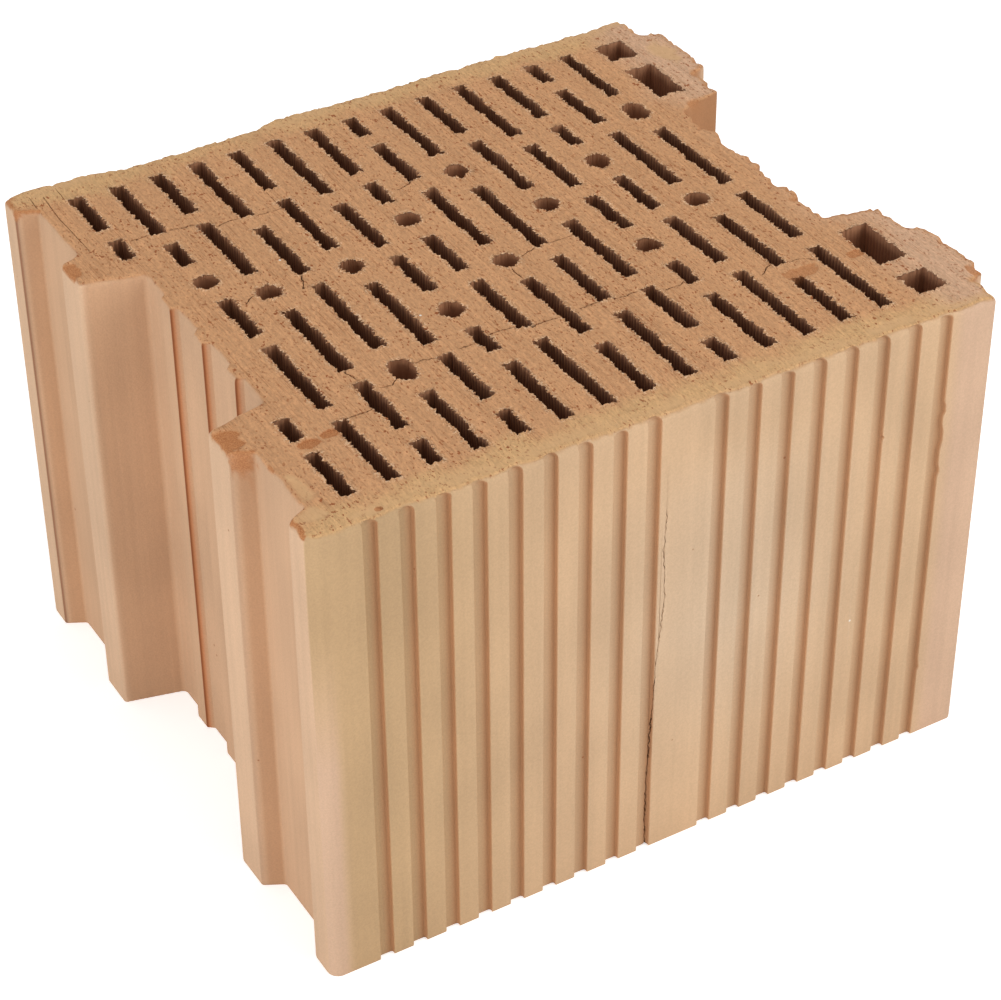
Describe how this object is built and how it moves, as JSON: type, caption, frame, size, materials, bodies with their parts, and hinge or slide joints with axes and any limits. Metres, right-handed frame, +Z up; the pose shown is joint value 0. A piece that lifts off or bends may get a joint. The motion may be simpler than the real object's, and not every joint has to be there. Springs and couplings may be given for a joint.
{
  "type": "hollow clay block",
  "caption": "Hollow fired clay wall block with slot and round perforations, tongue and groove ends, a mortar pocket in each end and grooved plaster faces.",
  "frame": {"origin": "on the floor, under the middle of the block's box, tongues included", "axes": "+X along the plaster faces towards the tongue end, +Y through the wall towards the back plaster face, +Z up along the perforations"},
  "size_m": [0.342, 0.3, 0.238],
  "materials": {
    "fired_clay": "matte, unglazed, wire-cut bed faces"
  },
  "bodies": {
    "root": {"clay_block": "fired_clay"}
  },
  "joints": []
}
